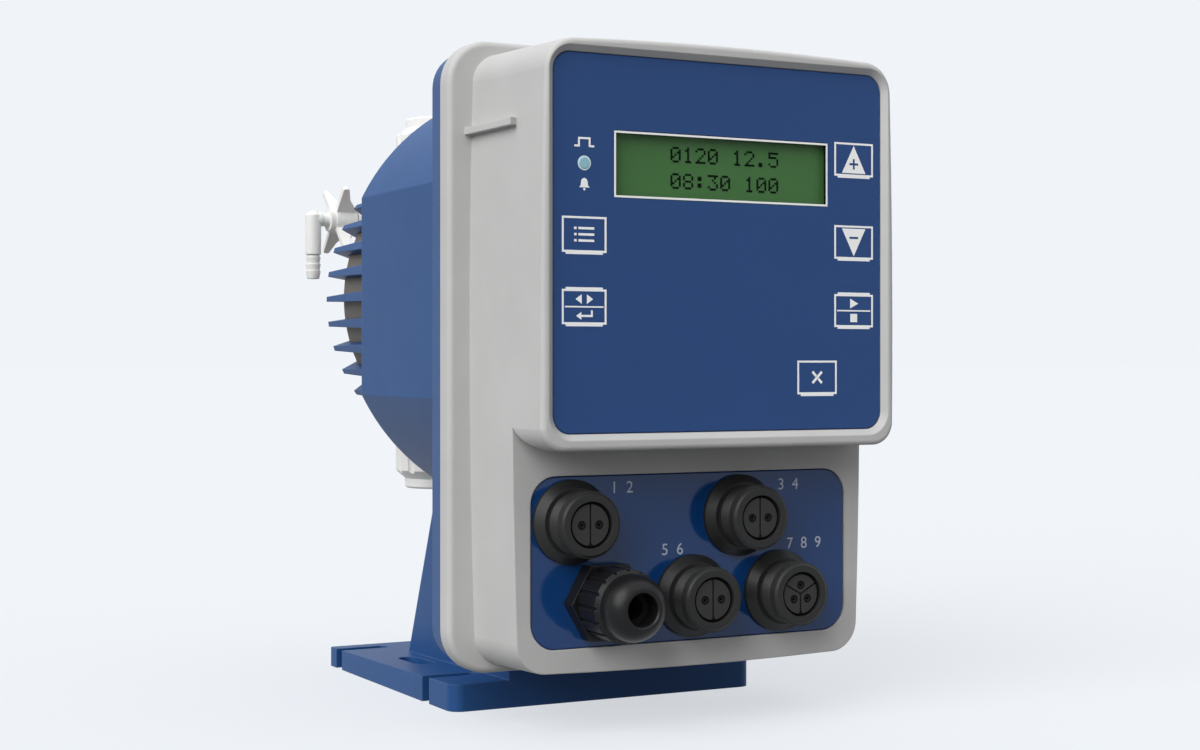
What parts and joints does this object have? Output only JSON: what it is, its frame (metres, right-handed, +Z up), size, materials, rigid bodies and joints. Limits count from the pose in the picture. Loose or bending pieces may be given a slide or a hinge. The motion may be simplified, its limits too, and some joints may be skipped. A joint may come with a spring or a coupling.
{
  "type": "diaphragm metering pump",
  "caption": "Solenoid-driven diaphragm metering pump: grey housing with keypad and display, sockets, blue finned body on a slotted foot, white head with valves and bleed tap.",
  "frame": {"origin": "middle of the foot's underside: Z = 0 is the plane it stands on, X = 0 the pump's middle plane, Y = 0 halfway along the foot; the joint between the two housings lies at Y = -70 mm", "axes": "+Z up, the control panel faces -Y, the pump head is at +Y, +X is to the right for someone who reads the panel"},
  "size_m": [0.125, 0.2144, 0.1885],
  "materials": {
    "grey_shell": "fine texture",
    "seal_rubber": "matte",
    "panel_film": "satin film",
    "key_film": "satin film",
    "spring_metal": "bright",
    "clear_window": "clear",
    "display_green": "gloss",
    "frame_metal": "satin",
    "lens_clear": "clear",
    "lamp_body": "gloss",
    "circuit_board": "satin",
    "screw_steel": "zinc plated",
    "plate_blue": "gloss",
    "socket_black": "satin",
    "contact_brass": "bright",
    "gland_black": "satin",
    "component_black": "satin",
    "blue_moulding": "fine texture",
    "can_steel": "satin",
    "tube_steel": "satin",
    "bobbin_plastic": "matte",
    "winding_copper": "enamelled",
    "core_iron": "turned",
    "bush_bronze": "turned",
    "white_plastic": "satin",
    "diaphragm_white": "satin",
    "seat_rubber": "matte",
    "ceramic": "polished"
  },
  "bodies": {
    "housing": {"front_housing": "grey_shell", "housing_gasket": "seal_rubber", "membrane_panel": "panel_film", "key_domes": "spring_metal", "display_window": "clear_window", "display_glass": "display_green", "display_frame": "frame_metal", "status_lens": "lens_clear", "status_lamp": "lamp_body", "display_board": "circuit_board", "board_screws": "screw_steel", "connector_plate": "plate_blue", "socket_shell_1": "socket_black", "socket_shell_2": "socket_black", "socket_shell_3": "socket_black", "socket_shell_4": "socket_black", "socket_inserts": "socket_black", "socket_contacts": "contact_brass", "socket_nuts": "socket_black", "gland_body": "gland_black", "gland_seal": "seal_rubber", "gland_nut": "gland_black", "gland_locknut": "gland_black", "control_board": "circuit_board", "power_parts": "component_black", "housing_screws": "screw_steel", "rear_housing": "blue_moulding", "solenoid_can": "can_steel", "can_screws": "screw_steel", "solenoid_cap": "can_steel", "guide_tube": "tube_steel", "coil_bobbin": "bobbin_plastic", "coil_winding": "winding_copper", "pole_core": "core_iron", "rod_bush": "bush_bronze", "return_spring": "spring_metal", "backing_ring": "white_plastic", "diaphragm": "diaphragm_white", "pump_head": "white_plastic", "head_screws": "screw_steel", "valve_seats": "seat_rubber", "valve_cages": "white_plastic", "suction_valve": "white_plastic", "discharge_valve": "white_plastic", "suction_nut": "white_plastic", "discharge_nut": "white_plastic", "valve_seals": "seal_rubber", "bleed_body": "white_plastic"},
    "plus_key": {"key_plus": "key_film"},
    "minus_key": {"key_minus": "key_film"},
    "start_key": {"key_start": "key_film"},
    "escape_key": {"key_escape": "key_film"},
    "program_key": {"key_program": "key_film"},
    "mode_key": {"key_mode": "key_film"},
    "plunger": {"armature": "core_iron"},
    "suction_ball": {"suction_ball": "ceramic"},
    "discharge_ball": {"discharge_ball": "ceramic"},
    "bleed_knob": {"bleed_knob": "white_plastic"},
    "bleed_needle": {"bleed_stem": "white_plastic"},
    "bleed_elbow": {"bleed_elbow": "white_plastic"}
  },
  "joints": [
    {"name": "plus_press", "type": "slide", "parent": "housing", "child": "plus_key", "axis": [0, 1, 0], "range_m": [0, 0.0004], "stiffness_N_per_m": 1500},
    {"name": "minus_press", "type": "slide", "parent": "housing", "child": "minus_key", "axis": [0, 1, 0], "range_m": [0, 0.0004], "stiffness_N_per_m": 1500},
    {"name": "start_press", "type": "slide", "parent": "housing", "child": "start_key", "axis": [0, 1, 0], "range_m": [0, 0.0004], "stiffness_N_per_m": 1500},
    {"name": "escape_press", "type": "slide", "parent": "housing", "child": "escape_key", "axis": [0, 1, 0], "range_m": [0, 0.0004], "stiffness_N_per_m": 1500},
    {"name": "program_press", "type": "slide", "parent": "housing", "child": "program_key", "axis": [0, 1, 0], "range_m": [0, 0.0004], "stiffness_N_per_m": 1500},
    {"name": "mode_press", "type": "slide", "parent": "housing", "child": "mode_key", "axis": [0, 1, 0], "range_m": [0, 0.0004], "stiffness_N_per_m": 1500},
    {"name": "pump_stroke", "type": "slide", "parent": "housing", "child": "plunger", "axis": [0, 1, 0], "range_m": [0, 0.00125], "stiffness_N_per_m": 4000, "deforming": ["return_spring", "diaphragm"]},
    {"name": "suction_lift", "type": "slide", "parent": "housing", "child": "suction_ball", "axis": [0, 0, 1], "range_m": [0, 0.0015]},
    {"name": "discharge_lift", "type": "slide", "parent": "housing", "child": "discharge_ball", "axis": [0, 0, 1], "range_m": [0, 0.0015]},
    {"name": "bleed_turn", "type": "hinge", "parent": "housing", "child": "bleed_knob", "pos_m": [-0.036, 0.0745, 0.1492], "axis": [-1, 0, 0], "range_deg": [0, 270]},
    {"name": "bleed_lift", "type": "slide", "parent": "housing", "child": "bleed_needle", "axis": [-1, 0, 0], "range_m": [0, 0.00075]},
    {"name": "elbow_swivel", "type": "hinge", "parent": "housing", "child": "bleed_elbow", "pos_m": [-0.0476, 0.0745, 0.1492], "axis": [-1, 0, 0], "range_deg": [-90, 90]}
  ],
  "couplings": [
    {"joint": "bleed_lift", "follows": "bleed_turn", "m_per_rad": 0.00015915}
  ]
}
